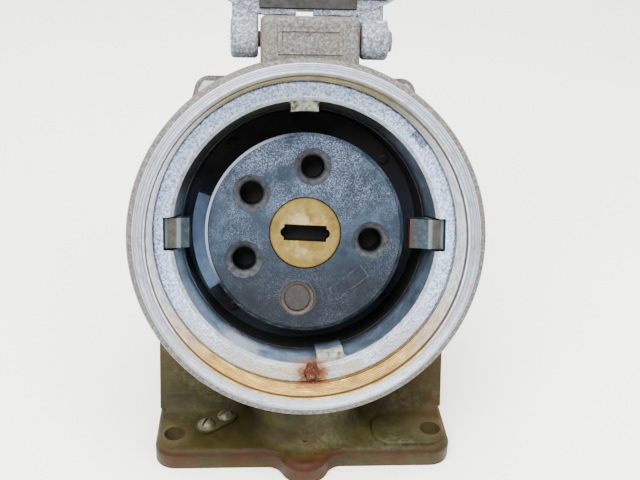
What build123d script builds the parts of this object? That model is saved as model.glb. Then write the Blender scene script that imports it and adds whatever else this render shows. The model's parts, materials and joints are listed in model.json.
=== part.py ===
from build123d import *

import math
import os

# Dead-front generator inlet: a cast receptacle bell with a hinged cap, bolted to an angled back box.
# Row frame: +Z up, the mouth faces -Y and tips upwards, origin at the centre of the base's underside.

# Base plate and back box
PLATE_W = 128.0
PLATE_D = 164.0
PLATE_T = 9.0
PLATE_CORNER = 9.0
HOLE_X = 56.0
HOLE_Y = 70.0
HOLE_R = 4.5
EAR_R = 10.5
EAR_BLEND = 7.0
RIM_ROUND = 2.8
WALL = 5.0
FOOT_BLEND = 7.0
NOSE_R = 24.0
NOSE_TOP = 36.0
PAD_H = 1.4
FRONT_SCREWS = [(-42.5, -66.0), (-34.5, -59.5)]
FRONT_SCREW_R = 2.4
SIDE_BREAK = -15.0
BOX_SHOULDER = 40.0
BOX_TOP = 63.5
REAR_FOOT = 66.0
REAR_TOP = 50.0
REAR_TOP_Z = 140.0

# Barrel: its own frame has +Z out of the mouth and +Y up the face, with depths as negative Z
MOUTH_Y = -63.5
MOUTH_Z = 100.0
TILT = 20.0
BELL_R = 72.4
FACE_R = 69.5
FACE_INNER_R = 66.0
THREAD_R = 65.0
THREAD_END = -21.0
SEAT_R = 64.4
SHOULDER = -27.0
SLEEVE_BORE_R = 59.3
FLANGE_FRONT = -34.0
FLANGE_BACK = -40.0
GASKET_T = 1.5
SPIGOT_R = 56.4
SPIGOT_BORE_R = 53.6
LIP_FRONT = -68.0
LIP_BACK = -72.0
LIP_R = 45.0
BOLT_POSITIONS = [(-41, 60), (41, 60), (-50, -54), (50, -54)]
BOLT_R = 2.5
BOLT_HEAD_R = 4.62
BOLT_EAR_R = 6.5
FLANGE_R = 61.5

# Keyed sleeve
SLEEVE_HEAD_R = 64.2
SLEEVE_BODY_R = 59.0
SLEEVE_MOUTH_R = 56.1
SLEEVE_END_R = 53.9
SLEEVE_END = -39.7
SLOT_DEPTH_R = 59.8
SLOT_W = 14.0
SLOT_HOOD_X = 63.0
SLEEVE_BEVEL = 1.4
KEY_W = 11.5
KEY_H = 3.0
KEY_ANGLES = [91, 282]
LOCK_ANGLE = 273
LOCK_RADIUS = 60.2
LOCK_R = 3.2

# Front rotor and what it carries
DISC_R = 42.9
DISC_FRONT = -27.0
DISC_BACK = -43.0
HOLE_PITCH_R = 28.6
HOLE_TURN = -6.3
PIN_HOLES = [0, 90, 150, 210]
PLUNGER_HOLE = 270
PIN_HOLE_R = 5.0
SINK_R = 8.2
SINK_DEPTH = 4.0
HUB_R = 15.2
HUB_BACK = -41.0
SHAFT_R = 6.0
KEYWAY_L = 21.4
KEYWAY_W = 7.0
PLUNGER_R = 5.65
TURN_RANGE = 28.0
STOP_R = 1.5
STOP_RADIUS = 37.5
STOP_ANGLE = 30.0

# Contact block behind the rotor
BLOCK_FRONT = -43.5
FLOOR = -60.0
BLOCK_REAR_R = 42.0
BLOCK_REAR = -84.0
CONTACT_R = 5.2
CONTACT_BORE_R = 4.1
TERMINAL_R = 6.2
TERMINAL_END = -96.0
BLOCK_SCREW_RADIUS = 49.0
BARRIER_R = 48.8
BARRIER_FRONT = -36.8
BARRIER_SPAN = (160, 212)
BLOCK_SCREW_ANGLES = [40, 130, 230, 320]

# Latch pawls
PAWL_W = 12.6
PAWL_FRONT = -24.0
PAWL_BACK = -36.0
PAWL_TAIL_X = 59.9
FOOT_END_X = 62.2
FOOT_W = 16.4
POCKET_END_X = 68.0
POCKET_W = 17.6
PAWL_NOSE = {"left": 49.5, "right": 45.5}

# Hinge and cap, drawn closed over the mouth and swung open at the end
HINGE_U = 79.4
HINGE_DEPTH = -10.0
PIN_R = 3.175
LUG_W = 39.0
LUG_TOP = 88.0
LUG_FRONT = -2.0
LUG_BACK = -18.0
ARM_INNER_X = 20.3
ARM_W = 10.9
ARM_ROUND = 1.6
KNUCKLE_R = 7.4
CAP_R = 70.8
CAP_CHORD = 68.0
CAP_FACE = 1.2
CAP_GASKET_R = 69.4
CAP_GASKET_BORE = 60.0
CAP_GASKET_CHORD = 61.5
CAP_TONGUE_X = 19.8
CAP_TONGUE_END = 65.6

BARREL = Plane(
    origin=(0, MOUTH_Y, MOUTH_Z),
    x_dir=(1, 0, 0),
    z_dir=(0, -math.cos(math.radians(TILT)), math.sin(math.radians(TILT))),
)


def save(node, shape):
    """Write one sub-part."""
    export_step(shape, f"parts/{node}.step")


def disc(radius, front, back):
    """A solid cylinder on the local Z axis between two heights."""
    return Pos(0, 0, (front + back) / 2) * Cylinder(radius, front - back)


def ring(outer, inner, front, back):
    """A plain tube on the local Z axis."""
    return disc(outer, front, back) - disc(inner, front + 1, back - 1)


def block(x, y, z):
    """A box from three (low, high) pairs."""
    centre = Pos(sum(x) / 2, sum(y) / 2, sum(z) / 2)
    return centre * Box(x[1] - x[0], y[1] - y[0], z[1] - z[0])


def polar(radius, angle):
    """A place on a circle about the local Z axis."""
    return Pos(radius * math.cos(math.radians(angle)), radius * math.sin(math.radians(angle)), 0)


def turned(points):
    """A solid of revolution about the local Z axis, from (radius, height) points."""
    outline = make_face(Polyline(*[(r, 0, z) for r, z in points], close=True))
    return revolve(outline, Axis.Z)


def prism(plane, points, width):
    """A flat outline extruded both ways from its plane."""
    outline = make_face(Polyline(*points, close=True))
    return extrude(plane * outline, width / 2, both=True)


def coil(radius, wire, length, turns):
    """A compression spring that starts at z = 0 and rises along +Z."""
    path = Helix(pitch=(length - 2 * wire) / turns, height=length - 2 * wire, radius=radius)
    start = Plane(origin=path @ 0, z_dir=path % 0)
    return Pos(0, 0, wire) * sweep(start * Circle(wire), path=path, is_frenet=True)


def rounded_hull(circles):
    """The outline that wraps a few circles, given as (x, y, radius)."""
    edges = [Pos(x, y) * Edge.make_circle(r) for x, y, r in circles]
    return make_hull(edges)


# ---------------------------------------------------------------- back box


def box_form(inset):
    """The back box's outer shape, or its hollow when inset by the wall."""
    side = PLATE_W / 2 - inset
    shoulder = BOX_SHOULDER - inset
    top = BOX_TOP - inset
    below = -110.0
    outline = Polyline(
        (-side, below), (side, below), (side, SIDE_BREAK),
        (shoulder, top), (-shoulder, top), (-side, SIDE_BREAK), close=True,
    )
    face = make_face(outline)
    shoulders = face.vertices().sort_by(Axis.Y)[-2:]
    face = fillet(shoulders, 12.0 - inset / 2)
    start = FLANGE_BACK - GASKET_T - inset
    along_barrel = extrude(BARREL * Pos(0, 0, start) * face, -150)
    foot = PLATE_T if inset == 0 else -1.0
    side_view = [(-110, foot), (REAR_FOOT - inset, foot), (REAR_TOP - inset, REAR_TOP_Z), (-110, 240)]
    along_x = prism(Plane.YZ, side_view, PLATE_W)
    plan = Pos(0, REAR_FOOT - inset - 100) * RectangleRounded(2 * side, 200, 16 - inset)
    upright = extrude(Pos(0, 0, -20) * plan, 260)
    return along_barrel & along_x & upright


def base_plate():
    """The mounting plate, with a half-round ear blended into its front edge."""
    outline = RectangleRounded(PLATE_W, PLATE_D, PLATE_CORNER) + Pos(0, -PLATE_D / 2) * Circle(EAR_R)
    beside_ear = outline.vertices().filter_by_position(Axis.X, -EAR_R - 1, EAR_R + 1)
    outline = fillet(beside_ear.filter_by_position(Axis.Y, -PLATE_D / 2 - 1, 0), EAR_BLEND)
    plate = extrude(outline, PLATE_T)
    rim = plate.faces().sort_by(Axis.Z)[-1].edges()
    return fillet(rim, RIM_ROUND)


def flared_nose():
    """The round post under the bell, with a concave flare where it meets the plate."""
    out = NOSE_R + FOOT_BLEND
    up = PLATE_T + FOOT_BLEND
    outline = Polyline((out, PLATE_T), (out, 1), (0, 1), (0, NOSE_TOP), (NOSE_R, NOSE_TOP), (NOSE_R, up))
    flare = CenterArc((out, up), FOOT_BLEND, 180, 90)
    return revolve(Plane.XZ * make_face([*outline.edges(), flare]), Axis.Z)


def front_foot():
    """The concave fillet along the foot of the front wall."""
    lean = math.radians(TILT)
    depth = FLANGE_BACK - GASKET_T
    down = (PLATE_T - MOUTH_Z - depth * math.sin(lean)) / math.cos(lean)
    foot_y = MOUTH_Y - depth * math.cos(lean) + down * math.sin(lean)
    low = (foot_y - FOOT_BLEND, PLATE_T)
    high = (foot_y + FOOT_BLEND * math.tan(lean), PLATE_T + FOOT_BLEND)
    corner = (foot_y - 0.3 * FOOT_BLEND, PLATE_T + 0.3 * FOOT_BLEND)
    inner = foot_y + FOOT_BLEND
    rest = Polyline(high, (inner, high[1]), (inner, 2), (low[0], 2), low)
    outline = Plane.YZ * make_face([ThreePointArc(low, corner, high), *rest.edges()])
    return extrude(outline, PLATE_W / 2 - RIM_ROUND, both=True)


def angle_back_box():
    """The cast box: plate, hollow angled body, nose under the bell, a raised pad and a screw boss."""
    nose_y = MOUTH_Y + 9.5
    shape = base_plate() + box_form(0) + front_foot()
    shape += Pos(0, nose_y, 0) * flared_nose()
    pad = extrude(Pos(46, -HOLE_Y + 1.0, PLATE_T - 1) * RectangleRounded(32, 20, 8), PAD_H + 1)
    shape += fillet(pad.faces().sort_by(Axis.Z)[-1].edges(), 1.2)
    boss = rounded_hull([(x, y, 5.0) for x, y in FRONT_SCREWS])
    shape += extrude(Pos(0, 0, PLATE_T) * boss, PAD_H)
    shape -= BARREL * disc(BELL_R + 1.4, 30, FLANGE_BACK - GASKET_T)
    shape -= box_form(WALL)
    shape -= Pos(0, nose_y, 6) * Cylinder(NOSE_R - WALL, 14)
    for x, y in BOLT_POSITIONS:
        shape += BARREL * Pos(x, y, 0) * disc(BOLT_EAR_R, FLANGE_BACK - GASKET_T, -54)
    shape -= BARREL * disc(SPIGOT_R + 0.6, 0, -90)
    for x, y in BOLT_POSITIONS:
        shape -= BARREL * Pos(x, y, 0) * disc(BOLT_R, -38, -51)
    for x in (-HOLE_X, HOLE_X):
        for y in (-HOLE_Y, HOLE_Y):
            shape -= Pos(x, y, 5) * Cylinder(HOLE_R, 14)
    for x, y in FRONT_SCREWS:
        shape -= Pos(x, y, 5) * Cylinder(FRONT_SCREW_R, 14)
    shape -= Pos(0, -PLATE_D / 2 + 4, PLATE_T) * Cylinder(1.6, 6)
    return shape


def round_head_screw(head_r, head_h, shank_r, length, slot_turn):
    """A slotted round-head screw: the head's underside at z = 0, the shank below it."""
    dome_r = (head_r**2 + head_h**2) / (2 * head_h)
    dome = Pos(0, 0, head_h - dome_r) * Sphere(dome_r)
    head = dome & disc(head_r + 1, head_h + 1, 0)
    slot = Rot(0, 0, slot_turn) * Pos(0, 0, head_h) * Box(head_r * 3, head_r * 0.28, head_h * 1.1)
    return head + disc(shank_r, 0.1, -length) - slot


def front_screws():
    """The grounding screw and its sunk neighbour on the plate's left front."""
    proud = round_head_screw(4.0, 2.9, FRONT_SCREW_R, 8.0, 62)
    sunk = round_head_screw(3.6, 2.2, FRONT_SCREW_R, 8.0, 40)
    screws = [
        Pos(*FRONT_SCREWS[0], PLATE_T + PAD_H) * proud,
        Pos(*FRONT_SCREWS[1], PLATE_T + PAD_H) * sunk,
    ]
    return Compound(children=screws)


# ---------------------------------------------------------------- receptacle housing


def flange_outline():
    """The bolting flange: the outline round the barrel and the four bolt ears."""
    ears = [(x, y, BOLT_EAR_R) for x, y in BOLT_POSITIONS]
    return rounded_hull(ears + [(0, 0, FLANGE_R)])


def housing_gasket():
    """The flat gasket between the housing and the back box."""
    sheet = extrude(Pos(0, 0, FLANGE_BACK - GASKET_T) * flange_outline(), GASKET_T)
    sheet -= disc(SPIGOT_R + 0.6, -30, -50)
    for x, y in BOLT_POSITIONS:
        sheet -= Pos(x, y, 0) * disc(BOLT_R + 0.2, -30, -50)
    return BARREL * sheet


def bell():
    """The turned body: mouth, threaded bore, sleeve seat and rear spigot."""
    return turned([
        (FACE_INNER_R, 0), (FACE_R, 0), (71.6, -0.9), (BELL_R, -3), (BELL_R, -13),
        (71.2, -22), (67.6, -28.5), (65.4, FLANGE_FRONT), (65.4, FLANGE_BACK), (SPIGOT_R, FLANGE_BACK),
        (SPIGOT_R, LIP_BACK), (LIP_R, LIP_BACK), (LIP_R, LIP_FRONT), (SPIGOT_BORE_R, LIP_FRONT),
        (SPIGOT_BORE_R, FLANGE_BACK), (SLEEVE_BORE_R, FLANGE_BACK), (SLEEVE_BORE_R, SHOULDER),
        (SEAT_R, SHOULDER), (SEAT_R, THREAD_END), (THREAD_R, THREAD_END), (THREAD_R, -1.4),
    ])


def hinge_lug():
    """The lug that carries the hinge pin, with a blank raised border on its face."""
    half = LUG_W / 2
    outline = make_face(Polyline(
        (62, LUG_BACK - 6), (62, LUG_FRONT), (LUG_TOP, LUG_FRONT),
        (LUG_TOP, LUG_BACK), (76, LUG_BACK), (69, LUG_BACK - 6), close=True,
    ))
    corners = outline.vertices().group_by(Axis.X)[-1]
    outline = fillet(corners, 3.0)
    lug = extrude(Plane.YZ * outline, half, both=True)
    front_sides = lug.faces().sort_by(Axis.Z)[-1].edges().filter_by(Axis.Y)
    lug = fillet(front_sides, 2.2)
    frame = Rectangle(25, 10) - Rectangle(22.4, 7.4)
    lug += extrude(Pos(0, 78, LUG_FRONT - 0.1) * frame, 0.8)
    for low in (-14, 8):
        lug += block((low, low + 6), (64, LUG_TOP + 2.4), (-27, -21.5))
    return lug


def hinge_axis_rod(radius, length):
    """A cylinder along the hinge axis."""
    return Pos(0, HINGE_U, HINGE_DEPTH) * Rot(0, 90, 0) * Cylinder(radius, length)


def receptacle_housing():
    """The bell, its bolting flange, hinge lug and pawl pockets, as one casting."""
    flange = extrude(Pos(0, 0, FLANGE_BACK) * flange_outline(), FLANGE_FRONT - FLANGE_BACK)
    flange -= disc(60, -30, -50)
    lug = hinge_lug() - disc(BELL_R - 3, 5, -40)
    shape = bell() + flange + lug
    for side in (-1, 1):
        pocket_x = sorted((side * 64.5, side * 71.0))
        shape += block(pocket_x, (-11.5, 11.5), (-38, -25)) - disc(65, 0, -50)
    for side in (-1, 1):
        hollow_x = sorted((side * 55, side * POCKET_END_X))
        shape -= block(hollow_x, (-POCKET_W / 2, POCKET_W / 2), (-37.2, SHOULDER))
    shape -= hinge_axis_rod(PIN_R + 0.02, 60)
    shape -= polar(LOCK_RADIUS, LOCK_ANGLE) * disc(LOCK_R, -20, -33)
    for x, y in BOLT_POSITIONS:
        shape -= Pos(x, y, 0) * disc(BOLT_R + 0.3, -20, -50)
    for angle in BLOCK_SCREW_ANGLES:
        shape -= polar(BLOCK_SCREW_RADIUS, angle) * disc(1.6, -60, -80)
    return BARREL * shape


def housing_bolts():
    """Four hex bolts through the flange into the back box."""
    head = extrude(Pos(0, 0, FLANGE_FRONT) * RegularPolygon(BOLT_HEAD_R, 6), 3.5)
    bolt = head + disc(BOLT_R, FLANGE_FRONT + 0.1, -50.5)
    return Compound(children=[BARREL * Pos(x, y, 0) * bolt for x, y in BOLT_POSITIONS])


# ---------------------------------------------------------------- keyed sleeve


def keyed_sleeve():
    """The ring that lines the mouth: head, tapered wall, keys, slots and a notch."""
    shape = turned([
        (SLEEVE_MOUTH_R, THREAD_END - SLEEVE_BEVEL), (SLEEVE_MOUTH_R + SLEEVE_BEVEL, THREAD_END),
        (SLEEVE_HEAD_R - 0.5, THREAD_END), (SLEEVE_HEAD_R, THREAD_END - 0.5),
        (SLEEVE_HEAD_R, SHOULDER), (SLEEVE_BODY_R, SHOULDER), (SLEEVE_BODY_R, SLEEVE_END),
        (SLEEVE_END_R, SLEEVE_END),
    ])
    for angle in KEY_ANGLES:
        rib = block((51.5, 57.5), (-KEY_W / 2, KEY_W / 2), (SLEEVE_END, THREAD_END - 1))
        shape += Rot(0, 0, angle) * rib & ring(58, SLEEVE_END_R - KEY_H + 1, 0, -50)
    for side in (-1, 1):
        slot_x = sorted((side * 48, side * SLOT_DEPTH_R))
        shape -= block(slot_x, (-SLOT_W / 2, SLOT_W / 2), (PAWL_BACK - 0.5, THREAD_END + 1))
        hood_x = sorted((side * 56, side * SLOT_HOOD_X))
        shape -= block(hood_x, (-SLOT_W / 2, SLOT_W / 2), (SHOULDER - 1, PAWL_FRONT + 0.4))
    shape -= Rot(0, 0, 40.5) * block((61.2, 66), (-4, 4), (-25, -20))
    shape -= polar(LOCK_RADIUS, LOCK_ANGLE) * disc(LOCK_R, -20, -33)
    return BARREL * shape


def sleeve_lock_screw():
    """The slotted screw on the joint line that stops the sleeve turning."""
    screw = disc(LOCK_R, THREAD_END - 0.6, -32.5)
    screw -= Rot(0, 0, 65) * block((-5, 5), (-0.6, 0.6), (THREAD_END - 2.2, THREAD_END))
    return BARREL * polar(LOCK_RADIUS, LOCK_ANGLE) * screw


# ---------------------------------------------------------------- latch pawls


def pawl(side):
    """A spring latch: nose with a ramped front and a foot behind the sleeve."""
    nose = PAWL_NOSE[side]
    ramp = prism(
        Plane.XZ,
        [(nose, PAWL_BACK), (nose, PAWL_FRONT - 4), (nose + 5.5, PAWL_FRONT - 1.2),
         (nose + 8, PAWL_FRONT), (PAWL_TAIL_X - 0.6, PAWL_FRONT), (PAWL_TAIL_X - 0.6, PAWL_BACK)],
        PAWL_W,
    )
    neck = block((PAWL_TAIL_X - 1, PAWL_TAIL_X + 0.5), (-PAWL_W / 2, PAWL_W / 2), (PAWL_BACK, -28))
    foot = block((PAWL_TAIL_X, FOOT_END_X), (-FOOT_W / 2, FOOT_W / 2), (PAWL_BACK, -28))
    shape = ramp + neck + foot
    turn = 180 if side == "left" else 0
    return BARREL * Rot(0, 0, turn) * shape


def pawl_spring(side):
    """The small coil between a pawl's foot and the end of its pocket."""
    turn = 180 if side == "left" else 0
    spring = coil(3.0, 0.4, POCKET_END_X - FOOT_END_X - 0.2, 3.5)
    place = Pos(FOOT_END_X + 0.1, 0, -32) * Rot(0, 90, 0)
    return BARREL * Rot(0, 0, turn) * place * spring


# ---------------------------------------------------------------- rotor


def front_rotor():
    """The moulded disc with four countersunk pin holes and a plunger hole."""
    shape = turned([
        (0, DISC_FRONT), (DISC_R - 1.8, DISC_FRONT), (DISC_R, DISC_FRONT - 1.8),
        (DISC_R, DISC_BACK), (0, DISC_BACK),
    ])
    shape -= disc(HUB_R + 0.35, DISC_FRONT + 1, HUB_BACK)
    shape -= disc(SHAFT_R + 0.1, DISC_FRONT, DISC_BACK - 1)
    sink = turned([
        (0, DISC_FRONT + 0.1), (SINK_R, DISC_FRONT + 0.1), (SINK_R - 1.2, DISC_FRONT - 1.6),
        (PIN_HOLE_R, DISC_FRONT - SINK_DEPTH), (0, DISC_FRONT - SINK_DEPTH),
    ])
    drill = sink + disc(PIN_HOLE_R, DISC_FRONT, DISC_BACK - 1)
    for angle in PIN_HOLES:
        shape -= polar(HOLE_PITCH_R, angle + HOLE_TURN) * drill
    well = disc(PLUNGER_R + 0.08, DISC_FRONT + 1, DISC_BACK + 2) + disc(2.6, DISC_FRONT, DISC_BACK - 1)
    well += turned([
        (0, DISC_FRONT + 0.1), (7.4, DISC_FRONT + 0.1), (5.7, DISC_FRONT - 1.4), (0, DISC_FRONT - 1.4),
    ])
    shape -= polar(HOLE_PITCH_R, PLUNGER_HOLE + HOLE_TURN) * well
    label = Rectangle(17.5, 6.4) - Rectangle(16.3, 5.2)
    shape -= extrude(Pos(19.2, -21.4, DISC_FRONT - 0.4) * Rot(0, 0, 38) * label, 1)
    shape -= polar(STOP_RADIUS, STOP_ANGLE) * disc(STOP_R, DISC_BACK + 4, DISC_BACK - 1)
    return BARREL * shape


def drive_hub():
    """The slotted hub that the plug's blade turns."""
    shape = turned([
        (0, DISC_FRONT - 0.3), (HUB_R - 0.5, DISC_FRONT - 0.3), (HUB_R, DISC_FRONT - 0.8),
        (HUB_R, HUB_BACK), (0, HUB_BACK),
    ])
    slot = extrude(Pos(0, 0, DISC_FRONT - 8) * SlotOverall(KEYWAY_L, KEYWAY_W - 2.6), 10)
    half_l, half_w = KEYWAY_L / 2 - 1.5, KEYWAY_W / 2
    slot += block((-half_l, half_l), (-half_w, half_w), (DISC_FRONT - 8, 0))
    shape -= Rot(0, 0, -2.4) * slot
    shape -= disc(SHAFT_R - 1.5, DISC_FRONT - 9, HUB_BACK - 1)
    return BARREL * shape


def rotor_shaft():
    """The stepped spindle from the hub, through the block, to its nut."""
    shape = disc(SHAFT_R - 1.5, DISC_FRONT - 9, HUB_BACK) + disc(SHAFT_R, HUB_BACK, BLOCK_REAR - 0.5)
    shape += disc(3.0, BLOCK_REAR, BLOCK_REAR - 10)
    return BARREL * shape


def spring_washer():
    """The dished washer that gives the rotor its drag."""
    shape = turned([
        (3.2, BLOCK_REAR - 2.0), (3.2, BLOCK_REAR - 1.2), (10, BLOCK_REAR - 0.3), (10, BLOCK_REAR - 1.1),
    ])
    return BARREL * shape


def shaft_nut():
    """The hex nut on the spindle's end."""
    nut = extrude(Pos(0, 0, BLOCK_REAR - 7.4) * RegularPolygon(6.35, 6), 5.2)
    return BARREL * (nut - disc(3.0, -80, -100))


def stop_pin():
    """The pin in the rotor's back that runs in the block's curved slot."""
    return BARREL * polar(STOP_RADIUS, STOP_ANGLE) * disc(STOP_R, DISC_BACK + 4, DISC_BACK - 4.5)


def interlock_plunger():
    """The button in the fifth hole, with a thin tail inside its spring."""
    shape = turned([
        (0, DISC_FRONT - 0.2), (PLUNGER_R - 0.6, DISC_FRONT - 0.2), (PLUNGER_R, DISC_FRONT - 0.8),
        (PLUNGER_R, DISC_FRONT - 7), (2.2, DISC_FRONT - 7),
        (2.2, DISC_FRONT - 11.5), (0, DISC_FRONT - 11.5),
    ])
    return BARREL * polar(HOLE_PITCH_R, PLUNGER_HOLE + HOLE_TURN) * shape


def plunger_spring():
    """The coil under the plunger's head."""
    floor = DISC_BACK + 2
    spring = coil(4.1, 0.5, DISC_FRONT - 7 - floor - 0.2, 4)
    return BARREL * polar(HOLE_PITCH_R, PLUNGER_HOLE + HOLE_TURN) * Pos(0, 0, floor + 0.1) * spring


# ---------------------------------------------------------------- contact block


def contact_angles():
    """Where the contacts stand: each hole's angle once the rotor is turned to its stop."""
    return [angle + HOLE_TURN + TURN_RANGE for angle in PIN_HOLES + [PLUNGER_HOLE]]


def arc_barrier():
    """The curved insulating ledge beside the rotor on the left."""
    reach = 2 * BARRIER_R
    ends = [(reach * math.cos(math.radians(a)), reach * math.sin(math.radians(a))) for a in BARRIER_SPAN]
    wedge = make_face(Polyline((0, 0), *ends, close=True))
    shape = ring(BARRIER_R, DISC_R + 0.6, BARRIER_FRONT, FLOOR) & extrude(Pos(0, 0, -70) * wedge, 40)
    return BARREL * shape


def socket_wells(shape, front, back, radius):
    """Bore a block for the five contacts and the rotor's spindle."""
    shape -= disc(SHAFT_R + 0.06, 0, -100)
    for angle in contact_angles():
        shape -= polar(HOLE_PITCH_R, angle) * disc(radius, front, back)
    return shape


def contact_block():
    """The front insulator: contact wells and the curved slot for the stop pin."""
    shape = turned([
        (0, BLOCK_FRONT), (DISC_R - 0.9, BLOCK_FRONT), (DISC_R, BLOCK_FRONT - 0.9),
        (DISC_R, FLOOR), (0, FLOOR),
    ])
    shape = socket_wells(shape, BLOCK_FRONT - 1.5, FLOOR - 1, CONTACT_R)
    shape = socket_wells(shape, 0, BLOCK_FRONT - 2, CONTACT_BORE_R + 0.5)
    sweep_angle = TURN_RANGE + 6
    groove = ring(STOP_RADIUS + 1.9, STOP_RADIUS - 1.9, BLOCK_FRONT + 1, BLOCK_FRONT - 6)
    far = 60.0
    spread = far * math.tan(math.radians(sweep_angle / 2))
    wedge = make_face(Polyline((0, 0), (far, -spread), (far, spread), close=True))
    groove &= Rot(0, 0, STOP_ANGLE + TURN_RANGE / 2) * extrude(Pos(0, 0, -55) * wedge, 20)
    return BARREL * (shape - groove)


def rear_block():
    """The rear insulator: a flange that closes the mouth's floor and a boss for the wire barrels."""
    rim = SPIGOT_BORE_R - 0.3
    shape = turned([
        (0, FLOOR), (rim, FLOOR), (rim, LIP_FRONT), (BLOCK_REAR_R, LIP_FRONT),
        (BLOCK_REAR_R, BLOCK_REAR), (0, BLOCK_REAR),
    ])
    shape = socket_wells(shape, FLOOR + 1, BLOCK_REAR - 1, CONTACT_R)
    for angle in BLOCK_SCREW_ANGLES:
        shape -= polar(BLOCK_SCREW_RADIUS, angle) * disc(1.75, -50, -80)
    return BARREL * shape


def contact_socket(angle):
    """A brass contact: split front bore and a wire barrel with a screw hole."""
    shape = disc(CONTACT_R, BLOCK_FRONT - 1.5, BLOCK_REAR - 0.1)
    shape += disc(TERMINAL_R, BLOCK_REAR, TERMINAL_END)
    shape -= disc(CONTACT_BORE_R, 0, BLOCK_FRONT - 26)
    shape -= disc(3.6, BLOCK_REAR - 2, TERMINAL_END - 1)
    shape -= block((-8, 8), (-0.5, 0.5), (BLOCK_FRONT - 18, 0))
    shape -= Pos(5, 0, BLOCK_REAR - 6) * Rot(0, 90, 0) * Cylinder(2.0, 6)
    return BARREL * polar(HOLE_PITCH_R, angle) * Rot(0, 0, angle) * shape


def terminal_screws():
    """One clamp screw for each contact's wire barrel."""
    screw = Pos(7.0, 0, BLOCK_REAR - 6) * Rot(0, 90, 0) * Cylinder(2.0, 7.0)
    screw -= block((9.3, 12), (-0.5, 0.5), (BLOCK_REAR - 10, BLOCK_REAR - 2))
    places = [polar(HOLE_PITCH_R, angle) * Rot(0, 0, angle) for angle in contact_angles()]
    return Compound(children=[BARREL * place * screw for place in places])


def block_screws():
    """Four screws that hold the contact block against the housing's lip."""
    screw = round_head_screw(3.0, 2.0, 1.6, 11.0, 20)
    places = [polar(BLOCK_SCREW_RADIUS, angle) * Pos(0, 0, FLOOR) for angle in BLOCK_SCREW_ANGLES]
    return Compound(children=[BARREL * place * screw for place in places])


# ---------------------------------------------------------------- cap and hinge pin


def swung_open(shape):
    """Swing a closed-cap shape half a turn about the hinge pin."""
    to_pin = Pos(0, HINGE_U, HINGE_DEPTH)
    from_pin = Pos(0, -HINGE_U, -HINGE_DEPTH)
    return BARREL * to_pin * Rot(180, 0, 0) * from_pin * shape


def gasket_seat(outer, inner, front, back, room):
    """The seal ring's form: cut straight beside the hinge, with a tongue between the arms."""
    kept = block((-90, 90), (-90, CAP_GASKET_CHORD + room), (-5, 5))
    kept += block((-CAP_TONGUE_X - room, CAP_TONGUE_X + room), (50, CAP_TONGUE_END + room), (-5, 5))
    return ring(outer, inner, front, back) & kept


def cap_arm():
    """One hinge arm: a rounded knuckle that runs forward and over the cap's edge."""
    outline = make_face(Polyline(
        (HINGE_U, HINGE_DEPTH - 6.0), (HINGE_U - 8.2, HINGE_DEPTH - 2.0), (HINGE_U - 8.6, CAP_FACE - 0.4),
        (54, CAP_FACE + 2), (54, 12.2), (HINGE_U - 10, 10.6), (HINGE_U + 2, 3.0),
        (HINGE_U + 7.0, HINGE_DEPTH + 3.4), (HINGE_U + 6.0, HINGE_DEPTH), close=True,
    ))
    arm = extrude(Plane.YZ * outline, ARM_W / 2, both=True) + hinge_axis_rod(KNUCKLE_R, ARM_W)
    rims = arm.faces().filter_by(Axis.X).edges()
    return fillet(rims, ARM_ROUND)


def cap_cover():
    """The domed cap with its seal groove, hinge edge, notch and two arms."""
    shell = turned([
        (0, 13.6), (30, 13.0), (54, 10.6), (66, 8.4), (CAP_R - 0.8, 6.2), (CAP_R, 4.8), (CAP_R, CAP_FACE),
        (CAP_GASKET_R, CAP_FACE), (CAP_GASKET_R, 2.8), (58, 2.8), (57, 5.6), (40, 8.0), (0, 9.6),
    ])
    hinge_edge = ring(CAP_R - 0.5, CAP_GASKET_CHORD - 1, 5, CAP_FACE)
    shell += hinge_edge & block((-40, 40), (CAP_GASKET_CHORD, 90), (0, 20))
    shell -= block((-90, 90), (CAP_CHORD, 120), (-5, 40))
    arm = cap_arm()
    offset = ARM_INNER_X + ARM_W / 2
    shape = shell + Pos(offset, 0, 0) * arm + Pos(-offset, 0, 0) * arm
    shape -= gasket_seat(CAP_GASKET_R, 57.5, 2.8, 0, 0.2)
    shape -= block((-4.9, 2.3), (CAP_CHORD - 2.0, 90), (-5, 40))
    shape -= hinge_axis_rod(PIN_R + 0.07, 90)
    return swung_open(shape)


def cap_gasket():
    """The flat rubber ring in the cap's groove, cut straight beside the hinge."""
    return swung_open(gasket_seat(CAP_GASKET_R - 0.2, CAP_GASKET_BORE, 2.8, 0.35, 0.0))


def hinge_pin():
    """The steel pin: flush on the left, with a low rivet head on the right."""
    half = ARM_INNER_X + ARM_W
    head = Pos(half + 0.9, 0, 0) * hinge_axis_rod(PIN_R + 1.0, 1.4)
    head = fillet(head.edges().sort_by(Axis.X)[-1], 0.8)
    return BARREL * (hinge_axis_rod(PIN_R, 2 * half) + Pos(half, 0, 0) * hinge_axis_rod(PIN_R, 1) + head)


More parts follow.
